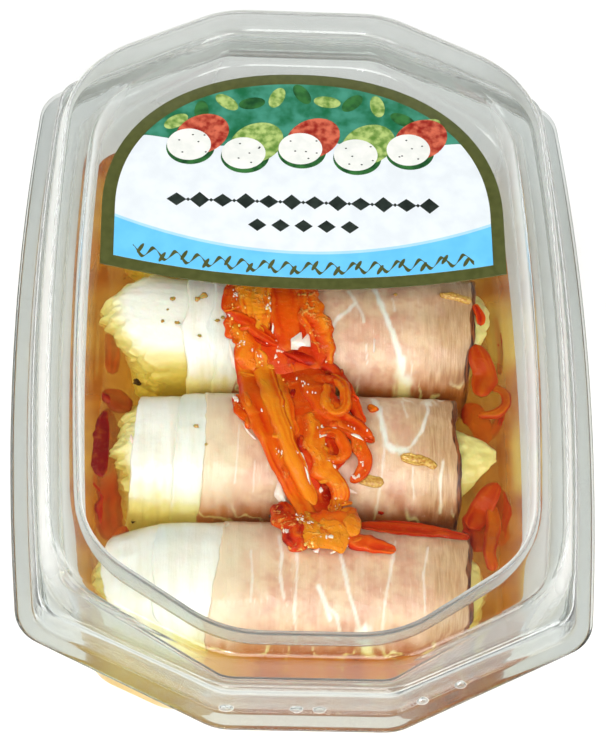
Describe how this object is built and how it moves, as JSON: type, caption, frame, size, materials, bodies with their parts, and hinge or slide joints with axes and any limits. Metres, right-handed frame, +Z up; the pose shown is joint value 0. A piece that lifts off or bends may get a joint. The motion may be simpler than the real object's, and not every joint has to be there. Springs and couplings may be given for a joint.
{
  "type": "lidded tub of bacon-wrapped cheese rolls",
  "caption": "Clear eight-sided plastic tub with a press-fit lid and arched label, holding cheese rolls wrapped in bacon with pepper strips in oil.",
  "frame": {"origin": "middle of the tub's base, on the surface it stands on", "axes": "+Z up, +X along the rolls to the right as seen from the label's lower edge, +Y along the tub towards the label's arch"},
  "size_m": [0.147, 0.212, 0.0635],
  "materials": {
    "clear_plastic": "clear glossy moulded plastic",
    "print": "semi-gloss printed film",
    "bacon": "moist thin-cut bacon, lean and creamy fat",
    "cheese": "moist soft cheese",
    "pepper": "wet pickled pepper flesh",
    "oil": "clear golden oil"
  },
  "bodies": {
    "root": {"tub": "clear_plastic", "lid": "clear_plastic", "label": "print", "bacon_1": "bacon", "cheese_1": "cheese", "bacon_2": "bacon", "cheese_2": "cheese", "bacon_3": "bacon", "cheese_3": "cheese", "bacon_4": "bacon", "cheese_4": "cheese", "pepper_bundle": "pepper", "pepper_strip_1": "pepper", "pepper_strip_2": "pepper", "pepper_strip_3": "pepper", "oil": "oil"}
  },
  "joints": []
}
